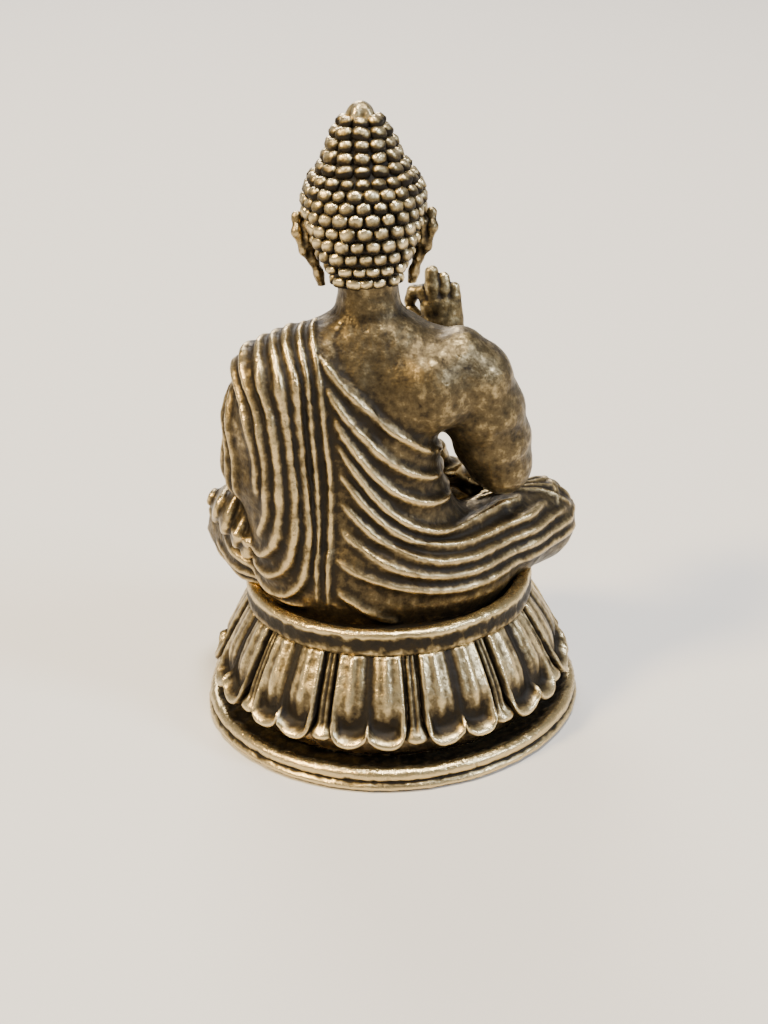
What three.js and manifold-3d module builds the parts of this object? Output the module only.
// A pocket-size seated Buddha on a lotus pedestal, cast in brass and joined from separate pieces.
// Millimetres, +Z up. The origin is the middle of the flat underside and the figure faces -Y,
// so its left side is at +X.
import * as THREE from 'three';
import { LoftGeometry } from 'three/addons/geometries/LoftGeometry.js';
import { mergeVertices, toCreasedNormals } from 'three/addons/utils/BufferGeometryUtils.js';
import Module from 'manifold-3d';

// ---- Driving dimensions --------------------------------------------------------------------
// Clearances
const JOINT_GAP = 0.1; // between two faces that meet
const FIT_CLEARANCE = 0.1; // all round a dowel, a stud or a plate in its seat
const LAP_CLEARANCE = 0.15; // under the left arm and hand where they rest in the lap

// Foot ring and base plate
const FOOT_RADIUS = 13.0;
const FOOT_HEIGHT = 1.5;
const FOOT_WIDTH = 2.8; // radial width of the ring at its top
const FOOT_LEDGE = 0.9; // how far the ring reaches in over the base plate
const FOOT_GROOVE = 0.35; // depth of the groove between the two beads
const BASE_PLATE_THICKNESS = 0.6;

// Lotus skirt
const SKIRT_HEIGHT = 6.5; // from the top of the foot ring to the flat top of the skirt
const SKIRT_WALL = 1.1;
const SKIRT_FLANGE = 2.6; // radial width of the flat top that carries the seat
const SKIRT_FLANGE_THICKNESS = 1.0;
const SKIRT_SETBACK = 1.9; // from the foot ring's edge in to the plain wall under the petals
const PETAL_COUNT = 12;
const PETAL_STAND = 0.8; // how far the tips stand out from the plain wall
const PETAL_TIP_HEIGHT = 1.1; // of the lowest point of a tip, above the foot ring
const PETAL_RELIEF = 0.34; // height of a lobe above the groove beside it
const SPEAR_SHARE = 0.18; // share of the pitch that the narrow petal between two broad ones takes

// Seat
const RIM_RADIUS = 9.75;
const RIM_WIDTH = 1.05;
const RIM_HEIGHT = 1.55;
const RIM_OVERHANG = 0.45; // the rim stands out this far past the skirt's top
const SEAT_PLATE_THICKNESS = 0.8;

// Fixing under the seat
const STUD_RADIUS = 1.2;
const STUD_REACH = 8.2; // how far the stud goes up into the figure
const WASHER_THICKNESS = 0.6;
const WASHER_LAP = 0.8; // how far the washer reaches out under the skirt's flange
const NUT_FLATS = 4.4;
const NUT_HEIGHT = 1.6;
const STUD_TAIL = 0.5; // thread left showing under the nut

// Figure
const FIGURE_HEIGHT = 31.6; // from the seat to the tip of the topknot
const NECK_DOWEL_RADIUS = 0.8;
const SHOULDER_DOWEL_RADIUS = 0.6;
const WRIST_DOWEL_RADIUS = 0.4;
const JEWEL_RADIUS = 0.85;
const JEWEL_PEG_RADIUS = 0.35;

// Facets
const RING_FACETS = 56;
const LIMB_FACETS = 14;
const FINGER_FACETS = 7;

// ---- Worked out from them ------------------------------------------------------------------
const skirtBottom = FOOT_HEIGHT + JOINT_GAP;
const skirtTop = FOOT_HEIGHT + SKIRT_HEIGHT;
const skirtTopRadius = RIM_RADIUS - RIM_OVERHANG;
const skirtWallRadius = FOOT_RADIUS - SKIRT_SETBACK;
const flangeHoleRadius = skirtTopRadius - SKIRT_FLANGE;
const seatBottom = skirtTop + JOINT_GAP;
const seatTop = seatBottom + SEAT_PLATE_THICKNESS;
const rimTop = seatBottom + RIM_HEIGHT;
const rimInnerRadius = RIM_RADIUS - RIM_WIDTH;

// The figure is drawn at PATTERN_HEIGHT above its own seat and brought to size by one factor.
const PATTERN_HEIGHT = 31.6;
const figureScale = FIGURE_HEIGHT / PATTERN_HEIGHT;
const figureBottom = seatTop + JOINT_GAP;

// ---- Solids --------------------------------------------------------------------------------
const wasm = await Module();
wasm.setup();

/** A closed geometry as a solid: position only, shared vertices, no collapsed triangles. */
function solidOf(geometry) {
  const bare = new THREE.BufferGeometry();
  bare.setAttribute('position', geometry.getAttribute('position'));
  bare.setIndex(geometry.index);
  const merged = mergeVertices(bare);
  const corners = merged.index.array;
  const kept = [];
  for (let i = 0; i < corners.length; i += 3) {
    const [a, b, c] = corners.slice(i, i + 3);
    if (a !== b && b !== c && c !== a) kept.push(a, b, c);
  }
  return new wasm.Manifold(new wasm.Mesh({
    numProp: 3,
    vertProperties: merged.attributes.position.array,
    triVerts: new Uint32Array(kept),
  }));
}

/** Joins a list of solids into one. */
const joined = (solids) => solids.reduce((whole, solid) => whole.add(solid));

/** A solid less every one of the holes. */
const bored = (solid, holes) => holes.reduce((left, hole) => left.subtract(hole), solid);

/** A point of the figure's pattern in the part's frame. */
const place = ([x, y, z]) => new THREE.Vector3(
  x * figureScale, y * figureScale, figureBottom + z * figureScale);

/**
 * A solid of revolution about an upright axis through x, y. The profile is [radius, height] pairs
 * and closes on the axis or on itself.
 */
function turned(profile, facets = RING_FACETS, x = 0, y = 0) {
  const points = profile.map(([radius, height]) => new THREE.Vector2(radius, height));
  const geometry = new THREE.LatheGeometry(points, facets);
  geometry.rotateX(Math.PI / 2);
  geometry.translate(x, y, 0);
  return solidOf(geometry);
}

/** A flat disc from bottom to top. */
const disc = (radius, bottom, top, facets = RING_FACETS) => turned(
  [[0, bottom], [radius, bottom], [radius, top], [0, top]], facets);

/** A straight round bar, its middle at a pattern point; a length and a radius in real mm. */
function bar(middle, direction, length, radius) {
  const geometry = new THREE.CylinderGeometry(radius, radius, length, 16);
  const along = new THREE.Vector3(...direction).normalize();
  geometry.applyQuaternion(new THREE.Quaternion().setFromUnitVectors(new THREE.Vector3(0, 1, 0), along));
  const centre = place(middle);
  geometry.translate(centre.x, centre.y, centre.z);
  return solidOf(geometry);
}

/** Everything behind a plane through a pattern point, the plane moved out along its normal by shift. */
function behind(point, normal, shift) {
  const size = 3 * FIGURE_HEIGHT;
  const box = new THREE.BoxGeometry(size, size, size);
  box.translate(0, 0, -size / 2 + shift);
  const along = new THREE.Vector3(...normal).normalize();
  box.applyQuaternion(new THREE.Quaternion().setFromUnitVectors(new THREE.Vector3(0, 0, 1), along));
  const at = place(point);
  box.translate(at.x, at.y, at.z);
  return solidOf(box);
}

/** The share of a solid on the near side of a joint (behind its plane), with half the joint's gap. */
const nearSide = (solid, joint) => solid.intersect(behind(joint.at, joint.normal, -JOINT_GAP / 2));

/** The share of a solid on the far side of a joint. */
const farSide = (solid, joint) => solid.intersect(
  behind(joint.at, joint.normal.map((n) => -n), -JOINT_GAP / 2));

/**
 * Level sections stacked upwards: {z, right, left, front, back} are the section's extents. Grow
 * swells the whole solid by that much.
 */
function stacked(levels, facets, grow = 0) {
  const lowest = levels[0].z;
  const highest = levels[levels.length - 1].z;
  const sections = levels.map(({ z: level, right, left, front, back }) => {
    const points = [];
    const z = level + (level === highest ? grow : 0) - (level === lowest ? grow : 0);
    for (let i = 0; i < facets; i++) {
      const turn = (i / facets) * 2 * Math.PI;
      const x = (left + right) / 2 + ((left - right) / 2 + grow) * Math.cos(turn);
      const y = (front + back) / 2 + ((back - front) / 2 + grow) * Math.sin(turn);
      points.push(place([x, y, z]));
    }
    return points;
  });
  return solidOf(new LoftGeometry(sections, { capStart: true, capEnd: true }));
}

/**
 * A rounded limb through stations [x, y, z, halfWidth, halfDepth], domed at both ends. Width is
 * measured level and across the path on a limb that lies, and along X on one that stands.
 */
function limb(stations, facets = LIMB_FACETS, grow = 0) {
  const centres = stations.map(([x, y, z]) => new THREE.Vector3(x, y, z));
  const last = stations.length - 1;
  const rings = stations.map(([, , , wide, deep], i) => {
    const along = centres[Math.min(i + 1, last)].clone().sub(centres[Math.max(i - 1, 0)]).normalize();
    return { centre: centres[i], along, wide: wide + grow, deep: deep + grow };
  });
  // A dome is two shrinking rings past an end: [share of the radius past it, share of the size].
  const dome = [[0.55, 0.83], [0.93, 0.36]];
  const domed = (end, sign) => dome.map(([past, size]) => ({
    centre: end.centre.clone().addScaledVector(end.along, sign * past * Math.min(end.wide, end.deep)),
    along: end.along,
    wide: end.wide * size,
    deep: end.deep * size,
  }));
  const all = [...domed(rings[0], -1).reverse(), ...rings, ...domed(rings[last], 1)];
  const run = centres[last].clone().sub(centres[0]).normalize();
  const reference = Math.abs(run.z) > 0.6 ? new THREE.Vector3(0, 1, 0) : new THREE.Vector3(0, 0, 1);
  const sections = all.map(({ centre, along, wide, deep }) => {
    const across = new THREE.Vector3().crossVectors(reference, along).normalize();
    const up = new THREE.Vector3().crossVectors(along, across);
    const points = [];
    for (let i = 0; i < facets; i++) {
      const turn = (i / facets) * 2 * Math.PI;
      const point = centre.clone().addScaledVector(across, wide * Math.cos(turn));
      point.addScaledVector(up, deep * Math.sin(turn));
      points.push(place(point.toArray()));
    }
    return points;
  });
  return solidOf(new LoftGeometry(sections, { capStart: true, capEnd: true }));
}

// ---- Pedestal ------------------------------------------------------------------------------
const basePlateRadius = FOOT_RADIUS - FOOT_WIDTH + FOOT_LEDGE;

function makeBasePlate() {
  return disc(basePlateRadius - FIT_CLEARANCE, 0, BASE_PLATE_THICKNESS);
}

/** Two beads with a groove between them outside, and a rebate for the base plate inside. */
function makeFootRing() {
  const inner = FOOT_RADIUS - FOOT_WIDTH;
  const rebate = BASE_PLATE_THICKNESS + JOINT_GAP;
  const flat = 0.24 * FOOT_HEIGHT;
  const grooveHeight = 0.46 * FOOT_HEIGHT;
  return turned([
    [basePlateRadius, 0],
    [FOOT_RADIUS - 0.1, 0],
    [FOOT_RADIUS, 0.4 * flat],
    [FOOT_RADIUS, flat],
    [FOOT_RADIUS - FOOT_GROOVE, grooveHeight],
    [FOOT_RADIUS - 0.14, 0.64 * FOOT_HEIGHT],
    [FOOT_RADIUS - 0.16, 0.84 * FOOT_HEIGHT],
    [FOOT_RADIUS - 0.45, 0.98 * FOOT_HEIGHT],
    [FOOT_RADIUS - 0.85, FOOT_HEIGHT],
    [inner, FOOT_HEIGHT],
    [inner, rebate],
    [basePlateRadius, rebate],
    [basePlateRadius, 0],
  ]);
}

/** Height of a petal's outline at an angle, 1 on a lobe and 0 in the gap between two petals. */
function petalLobe(turn) {
  const across = ((turn * PETAL_COUNT) / (2 * Math.PI)) % 1; // 0 to 1 over one petal
  const fromSpear = Math.min(across, 1 - across);
  if (fromSpear < SPEAR_SHARE / 2) return 0.35 - 2 * fromSpear;
  return Math.abs(Math.sin(((across - SPEAR_SHARE / 2) / (1 - SPEAR_SHARE)) * 2 * Math.PI));
}

/** A bell of double-lobed petals that hang down and flare over a plain wall, hollow inside. */
function makeLotusSkirt() {
  const pointsPerPetal = 10;
  const facets = PETAL_COUNT * pointsPerPetal;
  const tipRadius = skirtWallRadius + PETAL_STAND;
  const tipBottom = skirtBottom + PETAL_TIP_HEIGHT;
  const bell = (share) => THREE.MathUtils.lerp(tipRadius, skirtTopRadius, share ** 1.15);
  const rows = [
    () => [skirtWallRadius, skirtBottom],
    () => [skirtWallRadius, tipBottom - 0.35],
    (lobe) => [tipRadius - 0.3, tipBottom + 0.9 * (1 - lobe)],
    ...[0.1, 0.3, 0.55, 0.8, 1].map((share) => (lobe) => {
      const relief = PETAL_RELIEF * (lobe - 1) * (1 - 0.7 * share);
      const rise = THREE.MathUtils.lerp(tipBottom + 0.25, skirtTop, share);
      return [bell(share) + relief, rise + 0.75 * (1 - lobe) * (1 - share) ** 3];
    }),
  ];
  const sections = rows.map((row) => {
    const points = [];
    for (let i = 0; i < facets; i++) {
      const turn = (i / facets) * 2 * Math.PI;
      const [radius, height] = row(petalLobe(turn));
      points.push(new THREE.Vector3(radius * Math.cos(turn), radius * Math.sin(turn), height));
    }
    return points;
  });
  const outer = solidOf(new LoftGeometry(sections, { capStart: true, capEnd: true }));
  const flangeBottom = skirtTop - SKIRT_FLANGE_THICKNESS;
  const hollow = turned([
    [0, 0],
    [skirtWallRadius - SKIRT_WALL, 0],
    [skirtWallRadius - SKIRT_WALL, tipBottom],
    [skirtTopRadius - SKIRT_WALL, flangeBottom],
    [flangeHoleRadius, flangeBottom],
    [flangeHoleRadius, skirtTop + 1],
    [0, skirtTop + 1],
  ], 48);
  return outer.subtract(hollow);
}

/** A ring with a worn, slightly hollow outer face round the seat. */
function makeSeatRim() {
  return turned([
    [rimInnerRadius, seatBottom],
    [RIM_RADIUS - 0.2, seatBottom],
    [RIM_RADIUS - 0.02, seatBottom + 0.16 * RIM_HEIGHT],
    [RIM_RADIUS - 0.1, seatBottom + 0.5 * RIM_HEIGHT],
    [RIM_RADIUS, seatBottom + 0.84 * RIM_HEIGHT],
    [RIM_RADIUS - 0.22, rimTop],
    [rimInnerRadius + 0.15, rimTop],
    [rimInnerRadius, rimTop - 0.2],
    [rimInnerRadius, seatBottom],
  ]);
}

function makeSeatPlate() {
  const plate = disc(rimInnerRadius - FIT_CLEARANCE, seatBottom, seatTop);
  return plate.subtract(disc(STUD_RADIUS + FIT_CLEARANCE, 0, seatTop + 1, 20));
}

// ---- Fixing under the seat -----------------------------------------------------------------
const washerTop = skirtTop - SKIRT_FLANGE_THICKNESS - JOINT_GAP;
const washerBottom = washerTop - WASHER_THICKNESS;
const nutTop = washerBottom - JOINT_GAP;
const nutBottom = nutTop - NUT_HEIGHT;
const studHole = disc(STUD_RADIUS + FIT_CLEARANCE, 0, figureBottom + STUD_REACH + FIT_CLEARANCE, 20);

function makeClampWasher() {
  return disc(flangeHoleRadius + WASHER_LAP, washerBottom, washerTop).subtract(studHole);
}

function makeClampNut() {
  return disc(NUT_FLATS / Math.sqrt(3), nutBottom, nutTop, 6).subtract(studHole);
}

function makeSeatStud() {
  return disc(STUD_RADIUS, nutBottom - STUD_TAIL, figureBottom + STUD_REACH, 20);
}

// ---- Joints of the figure ------------------------------------------------------------------
// Each is a plane through a pattern point; the normal runs from the piece nearer the seat.
const waist = { at: [0.4, 1.9, 4.6], normal: [0, 0, 1] };
const neck = { at: [0.65, 0.85, 20.6], normal: [0, 0, 1] };
const rightShoulder = { at: [-4.9, 2.0, 15.2], normal: [-1, 0, 0] };
const leftShoulder = { at: [5.2, 2.0, 15.2], normal: [1, 0, 0] };
const rightElbow = { at: [-7.6, 0.0, 8.7], normal: [0.2, -0.8, -0.25] };
const rightWrist = { at: [-4.95, -5.75, 14.2], normal: [0.25, -0.5, 0.83] };
const leftWrist = { at: [3.0, -5.5, 5.75], normal: [-0.95, -0.3, 0] };

const DOWEL_LENGTH = 3.0;
const dowel = (joint, radius, length = DOWEL_LENGTH) => bar(joint.at, joint.normal, length, radius);
const dowelHole = (joint, radius, length = DOWEL_LENGTH) => bar(
  joint.at, joint.normal, length + 2 * FIT_CLEARANCE, radius + FIT_CLEARANCE);

// ---- Figure --------------------------------------------------------------------------------
const hipSection = { right: -5.4, left: 6.2, front: -2.7, back: 6.5 };

/** What the pedestal takes up where the figure comes down over it. */
function seatKeepout() {
  const whole = disc(RIM_RADIUS + JOINT_GAP, 0, rimTop + JOINT_GAP);
  const recess = disc(rimInnerRadius - FIT_CLEARANCE, figureBottom, rimTop + 1);
  return whole.subtract(recess);
}

/** Hips, crossed legs and feet; grow swells them to cut the clearance of what rests in the lap. */
function lapSolid(grow = 0) {
  const hips = stacked([
    { z: 0, right: -7.9, left: 7.9, front: -6.6, back: 7.1 },
    { z: 1.4, right: -8.6, left: 8.5, front: -6.8, back: 7.3 },
    { z: 2.9, right: -7.8, left: 7.9, front: -5.6, back: 7.0 },
    { z: 4.9, ...hipSection },
  ], 24, grow);
  const legs = [
    // thighs
    [[-4.2, 2.4, 2.9, 2.9, 3.0], [-7.6, -0.4, 2.7, 2.8, 2.9], [-10.3, -3.4, 2.3, 2.5, 2.6]],
    [[4.6, 2.4, 2.9, 2.9, 3.0], [7.6, -0.4, 2.8, 2.7, 2.8], [9.8, -3.4, 2.7, 2.4, 2.5]],
    // the left shin lies under the right one
    [[9.6, -4.2, 2.4, 1.9, 2.1], [3.0, -6.6, 1.6, 1.6, 1.7], [-5.2, -6.3, 1.7, 1.3, 1.5]],
    [[-10.0, -4.3, 2.2, 1.9, 2.2], [-3.0, -7.0, 2.9, 1.7, 1.8], [5.0, -5.6, 3.8, 1.2, 1.3]],
    // feet, soles up
    [[-5.4, -5.4, 3.6, 1.1, 0.7], [-7.3, -3.6, 4.9, 1.2, 0.6], [-8.4, -2.2, 5.2, 1.0, 0.5]],
    [[5.0, -5.4, 4.3, 1.1, 0.7], [7.0, -3.9, 5.0, 1.2, 0.6], [8.3, -2.6, 5.2, 1.0, 0.5]],
  ].map((stations) => limb(stations, LIMB_FACETS, grow));
  return joined([hips, ...legs]);
}

/** Hips and crossed legs under the robe, let into the seat and cut level at the waist. */
function makeCrossedLegs() {
  return nearSide(lapSolid().subtract(seatKeepout()), waist).subtract(studHole);
}

/** Trunk with the robe over its left side, from the waist to the chin. */
function trunkSolid(grow = 0) {
  return stacked([
    { z: 4.4, ...hipSection },
    { z: 7.0, right: -4.2, left: 6.3, front: -2.2, back: 6.1 },
    { z: 9.5, right: -3.5, left: 6.3, front: -1.9, back: 5.9 },
    { z: 12.0, right: -3.6, left: 6.6, front: -2.3, back: 5.8 },
    { z: 14.2, right: -5.2, left: 7.2, front: -2.2, back: 5.5 },
    { z: 16.2, right: -6.2, left: 7.6, front: -1.4, back: 5.0 },
    { z: 17.8, right: -4.9, left: 6.2, front: -0.9, back: 4.2 },
    { z: 18.7, right: -2.6, left: 4.0, front: -1.0, back: 3.5 },
    { z: 19.4, right: -1.8, left: 3.1, front: -1.2, back: 3.1 },
    { z: 21.0, right: -1.55, left: 2.85, front: -1.3, back: 2.9 },
  ], 24, grow);
}

/** The trunk between its joints: waist, neck and both shoulders. */
function makeTorso() {
  const between = [neck, rightShoulder, leftShoulder].reduce(nearSide, farSide(trunkSolid(), waist));
  return bored(between, [
    dowelHole(neck, NECK_DOWEL_RADIUS),
    dowelHole(rightShoulder, SHOULDER_DOWEL_RADIUS),
    dowelHole(leftShoulder, SHOULDER_DOWEL_RADIUS),
    studHole,
  ]);
}

function makeRightUpperArm() {
  const arm = limb([
    [-5.2, 2.1, 16.4, 2.0, 2.2], [-6.0, 2.0, 14.9, 2.6, 2.4], [-6.7, 1.7, 12.6, 2.35, 2.25],
    [-7.4, 1.0, 10.2, 2.1, 2.1], [-7.7, 0.5, 8.7, 1.9, 1.9],
  ]);
  return bored(nearSide(farSide(arm, rightShoulder), rightElbow), [
    dowelHole(rightShoulder, SHOULDER_DOWEL_RADIUS),
    dowelHole(rightElbow, SHOULDER_DOWEL_RADIUS),
  ]);
}

function makeRightForearm() {
  const arm = limb([
    [-7.8, 0.9, 8.2, 1.75, 1.75], [-7.3, -1.2, 9.6, 1.75, 1.75], [-6.3, -3.4, 11.7, 1.5, 1.5],
    [-5.2, -5.4, 13.8, 1.2, 1.15], [-4.9, -6.0, 14.8, 1.15, 1.0],
  ]);
  return bored(nearSide(farSide(arm, rightElbow), rightWrist), [
    dowelHole(rightElbow, SHOULDER_DOWEL_RADIUS),
    dowelHole(rightWrist, WRIST_DOWEL_RADIUS),
  ]);
}

/** The raised hand in the teaching gesture: thumb and forefinger meet in a ring. */
function makeRightHand() {
  const palm = limb([[-5.1, -5.6, 13.6, 1.1, 0.9], [-4.9, -6.1, 14.9, 1.2, 0.85],
    [-4.7, -6.4, 16.0, 1.5, 0.75], [-4.6, -6.5, 17.0, 1.4, 0.6]], 10);
  const fingers = [
    [[-3.9, -6.5, 16.8, 0.42, 0.42], [-3.3, -7.1, 18.0, 0.4, 0.4], [-2.6, -7.5, 17.9, 0.38, 0.38],
      [-2.3, -7.6, 17.2, 0.36, 0.36]],
    [[-3.9, -6.3, 15.2, 0.5, 0.5], [-2.9, -6.9, 15.7, 0.45, 0.45], [-2.35, -7.5, 16.5, 0.4, 0.4]],
    [[-4.4, -6.5, 16.9, 0.42, 0.42], [-4.3, -6.7, 18.4, 0.4, 0.4], [-4.2, -6.9, 19.6, 0.35, 0.35]],
    [[-5.0, -6.5, 16.9, 0.42, 0.42], [-5.15, -6.7, 18.2, 0.4, 0.4], [-5.25, -6.8, 19.2, 0.34, 0.34]],
    [[-5.5, -6.4, 16.5, 0.4, 0.4], [-5.85, -6.6, 17.6, 0.36, 0.36], [-6.1, -6.7, 18.4, 0.3, 0.3]],
  ].map((stations) => limb(stations, FINGER_FACETS));
  return farSide(joined([palm, ...fingers]), rightWrist)
    .subtract(dowelHole(rightWrist, WRIST_DOWEL_RADIUS));
}

/** Left arm inside the robe, from the shoulder down to the lap. */
function makeLeftArm() {
  const sleeve = limb([[5.8, 2.1, 16.5, 2.0, 2.2], [6.5, 2.1, 15.2, 2.7, 2.8],
    [7.1, 2.0, 12.6, 2.8, 3.2], [7.5, 1.5, 9.6, 2.7, 3.4], [7.3, 0.9, 8.2, 2.4, 3.0]]);
  const forearm = limb([[7.4, 1.0, 8.6, 2.2, 2.2], [6.9, -2.0, 7.9, 2.0, 1.7],
    [5.0, -4.4, 7.0, 1.6, 1.2], [2.6, -5.6, 6.0, 1.2, 0.8]]);
  const trunkSide = trunkSolid(JOINT_GAP).intersect(
    behind(leftShoulder.at, leftShoulder.normal, JOINT_GAP / 2));
  const arm = farSide(sleeve, leftShoulder).add(forearm.subtract(trunkSide));
  return bored(nearSide(arm, leftWrist), [
    lapSolid(LAP_CLEARANCE),
    dowelHole(leftShoulder, SHOULDER_DOWEL_RADIUS),
    dowelHole(leftWrist, WRIST_DOWEL_RADIUS),
  ]);
}

/** The left hand, palm up in the lap. */
function makeLeftHand() {
  const palm = limb([[3.6, -5.4, 5.8, 0.9, 0.6], [2.4, -5.7, 5.75, 1.1, 0.6],
    [0.8, -6.0, 5.6, 1.5, 0.55], [-0.2, -6.0, 5.5, 1.5, 0.5]], 10);
  const fingers = [-1.1, -0.37, 0.36, 1.09].map((across, i) => limb([
    [-0.2, -6.0 + across, 5.45, 0.4, 0.42],
    [-1.9, -5.9 + across, 5.4, 0.38, 0.4],
    [-3.0 - 0.25 * Math.sin(i), -5.7 + 0.8 * across, 5.5, 0.33, 0.33],
  ], FINGER_FACETS));
  const thumb = limb([[1.6, -6.8, 5.8, 0.5, 0.45], [0.4, -7.5, 6.1, 0.42, 0.4],
    [-0.7, -7.3, 6.5, 0.36, 0.35]], FINGER_FACETS);
  return bored(farSide(joined([palm, thumb, ...fingers]), leftWrist), [
    lapSolid(LAP_CLEARANCE),
    dowelHole(leftWrist, WRIST_DOWEL_RADIUS),
  ]);
}

/** Neck, head and long-lobed ears; grow swells it to cut its own clearance in the hair. */
function headSolid(grow = 0) {
  const skull = stacked([
    { z: 20.2, right: -1.5, left: 2.8, front: -1.3, back: 2.8 },
    { z: 21.1, right: -1.5, left: 2.9, front: -2.6, back: 2.6 },
    { z: 21.5, right: -1.7, left: 3.1, front: -3.6, back: 2.5 },
    { z: 22.6, right: -2.2, left: 3.6, front: -3.95, back: 2.6 },
    { z: 24.0, right: -2.6, left: 4.05, front: -3.85, back: 2.9 },
    { z: 25.6, right: -2.6, left: 4.05, front: -3.8, back: 3.1 },
    { z: 26.8, right: -2.2, left: 3.6, front: -3.3, back: 2.8 },
    { z: 27.6, right: -1.2, left: 2.6, front: -2.2, back: 1.9 },
  ], 20, grow);
  const ears = [[-1, -2.75], [1, 4.2]].map(([side, x]) => limb([
    [x, -0.4, 24.4, 0.4, 0.75], [x + 0.08 * side, -0.3, 23.2, 0.4, 0.7],
    [x - 0.3 * side, -0.4, 21.6, 0.34, 0.5], [x - 0.45 * side, -0.5, 20.3, 0.3, 0.45],
  ], 10, grow));
  const nose = limb([[0.72, -3.6, 25.1, 0.25, 0.3], [0.72, -3.95, 24.2, 0.35, 0.35],
    [0.72, -4.05, 23.7, 0.5, 0.35]], 8, grow);
  const lips = limb([[0.1, -3.75, 22.75, 0.2, 0.2], [0.72, -3.95, 22.75, 0.3, 0.3],
    [1.34, -3.75, 22.75, 0.2, 0.2]], 8, grow);
  const brows = [-1, 1].map((side) => limb([[0.72 + 0.4 * side, -3.75, 25.0, 0.2, 0.2],
    [0.72 + 1.3 * side, -3.65, 25.25, 0.2, 0.2], [0.72 + 2.2 * side, -3.0, 24.9, 0.2, 0.2]], 6, grow));
  return farSide(joined([skull, nose, lips, ...brows, ...ears]), neck);
}

function makeHead() {
  return headSolid().subtract(dowelHole(neck, NECK_DOWEL_RADIUS));
}

const jewelSeat = { at: [0.75, 0.0, 30.15], normal: [0, 0, 1] };
const JEWEL_PEG_LENGTH = 2.0; // half of it in the jewel

/** Cap of curls with the domed topknot, open over the face. */
function makeHairCap() {
  const levels = [
    { z: 21.9, wide: 2.5, front: 0.4, back: 3.2 },
    { z: 22.9, wide: 3.25, front: -1.2, back: 3.75 },
    { z: 24.4, wide: 3.7, front: -3.6, back: 4.0 },
    { z: 26.0, wide: 3.8, front: -4.05, back: 4.0 },
    { z: 27.1, wide: 3.4, front: -3.6, back: 3.6 },
    { z: 27.9, wide: 2.6, front: -2.7, back: 2.8 },
    { z: 29.0, wide: 2.3, front: -2.35, back: 2.4 },
    { z: 29.8, wide: 1.6, front: -1.6, back: 1.65 },
    { z: 30.5, wide: 0.7, front: -0.7, back: 0.75 },
  ].map(({ z, wide, front, back }) => ({ z, right: 0.73 - wide, left: 0.73 + wide, front, back }));
  const cap = stacked(levels, 28);
  const faceOpening = stacked([
    { z: 18.0, right: -3.6, left: 5.1, front: -9.0, back: -0.2 },
    { z: 23.0, right: -3.4, left: 4.9, front: -9.0, back: -0.4 },
    { z: 25.6, right: -1.6, left: 3.1, front: -9.0, back: -2.4 },
    { z: 26.1, right: -0.4, left: 1.9, front: -9.0, back: -3.2 },
  ], 20);
  return cap.subtract(headSolid(JOINT_GAP)).subtract(faceOpening)
    .intersect(behind(jewelSeat.at, jewelSeat.normal, -JOINT_GAP / 2))
    .subtract(dowelHole(jewelSeat, JEWEL_PEG_RADIUS, JEWEL_PEG_LENGTH));
}

/** The drop-shaped jewel on the topknot, with the peg that holds it. */
function makeTopknotJewel() {
  const seat = place(jewelSeat.at);
  const bottom = seat.z + JOINT_GAP / 2;
  const height = figureBottom + FIGURE_HEIGHT - bottom;
  const profile = [
    [0, 0], [0.72, 0], [0.98, 0.22], [0.96, 0.45], [0.7, 0.74], [0.36, 0.93], [0, 1],
  ].map(([radius, share]) => [radius * JEWEL_RADIUS, bottom + share * height]);
  return turned(profile, 16, seat.x, seat.y)
    .add(dowel(jewelSeat, JEWEL_PEG_RADIUS, JEWEL_PEG_LENGTH));
}

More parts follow.
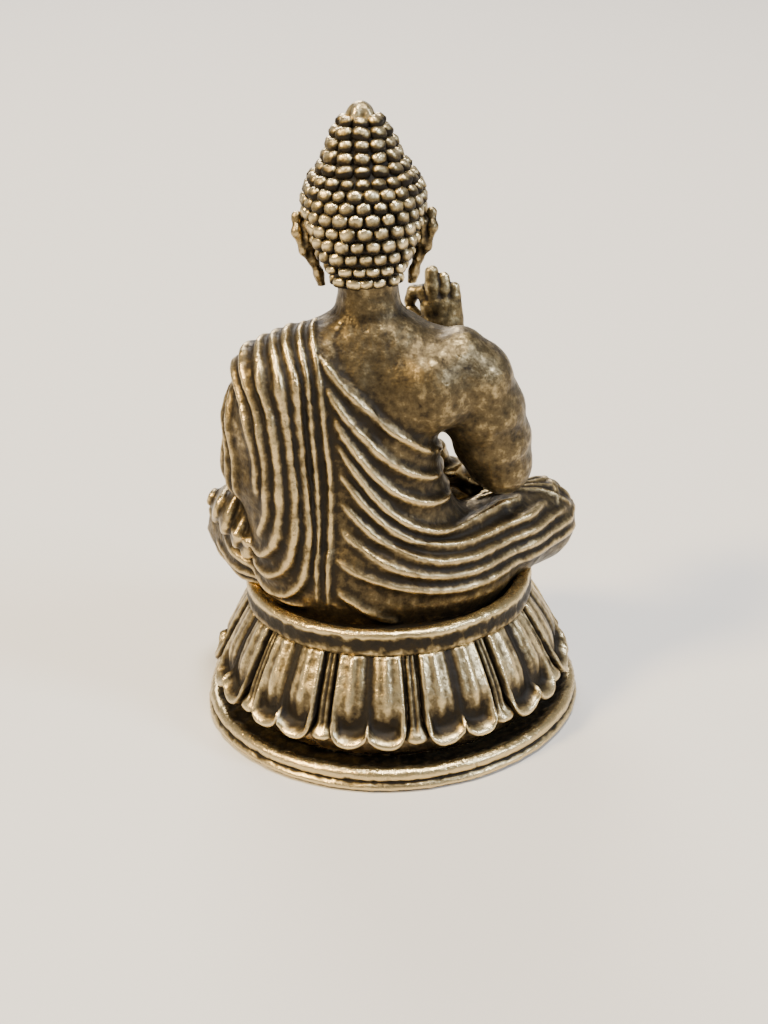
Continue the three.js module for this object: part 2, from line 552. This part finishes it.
// ---- Assembly ------------------------------------------------------------------------------
const castBrass = { color: 0x9a8355, roughness: 0.42, metalness: 1.0 };
const wornBrass = { color: 0xb59a5c, roughness: 0.38, metalness: 1.0 };
const darkBrass = { color: 0x6f6047, roughness: 0.5, metalness: 1.0 };
const sheetCopper = { color: 0x8f5a3c, roughness: 0.5, metalness: 1.0 };
const steel = { color: 0x7d7f82, roughness: 0.4, metalness: 1.0 };

const pieces = [
  ['base_plate', makeBasePlate, sheetCopper],
  ['foot_ring', makeFootRing, wornBrass],
  ['lotus_skirt', makeLotusSkirt, castBrass],
  ['seat_rim', makeSeatRim, wornBrass],
  ['seat_plate', makeSeatPlate, darkBrass],
  ['seat_stud', makeSeatStud, steel],
  ['clamp_washer', makeClampWasher, steel],
  ['clamp_nut', makeClampNut, steel],
  ['crossed_legs', makeCrossedLegs, castBrass],
  ['torso', makeTorso, castBrass],
  ['right_upper_arm', makeRightUpperArm, castBrass],
  ['right_forearm', makeRightForearm, castBrass],
  ['right_hand', makeRightHand, wornBrass],
  ['left_arm', makeLeftArm, castBrass],
  ['left_hand', makeLeftHand, wornBrass],
  ['head', makeHead, castBrass],
  ['hair_cap', makeHairCap, darkBrass],
  ['topknot_jewel', makeTopknotJewel, wornBrass],
  ['neck_dowel', () => dowel(neck, NECK_DOWEL_RADIUS), steel],
  ['right_shoulder_dowel', () => dowel(rightShoulder, SHOULDER_DOWEL_RADIUS), steel],
  ['left_shoulder_dowel', () => dowel(leftShoulder, SHOULDER_DOWEL_RADIUS), steel],
  ['right_elbow_dowel', () => dowel(rightElbow, SHOULDER_DOWEL_RADIUS), steel],
  ['right_wrist_dowel', () => dowel(rightWrist, WRIST_DOWEL_RADIUS), steel],
  ['left_wrist_dowel', () => dowel(leftWrist, WRIST_DOWEL_RADIUS), steel],
];

function meshOf(name, solid, finish) {
  const { vertProperties, triVerts } = solid.getMesh();
  const geometry = new THREE.BufferGeometry();
  geometry.setAttribute('position', new THREE.BufferAttribute(vertProperties, 3));
  geometry.setIndex(new THREE.BufferAttribute(triVerts, 1));
  const mesh = new THREE.Mesh(toCreasedNormals(geometry, Math.PI / 5), new THREE.MeshStandardMaterial(finish));
  mesh.name = name;
  return mesh;
}

const buddhaStatue = new THREE.Group();
for (const [name, make, finish] of pieces) {
  buddhaStatue.add(meshOf(name, make(), finish));
}
export default buddhaStatue;
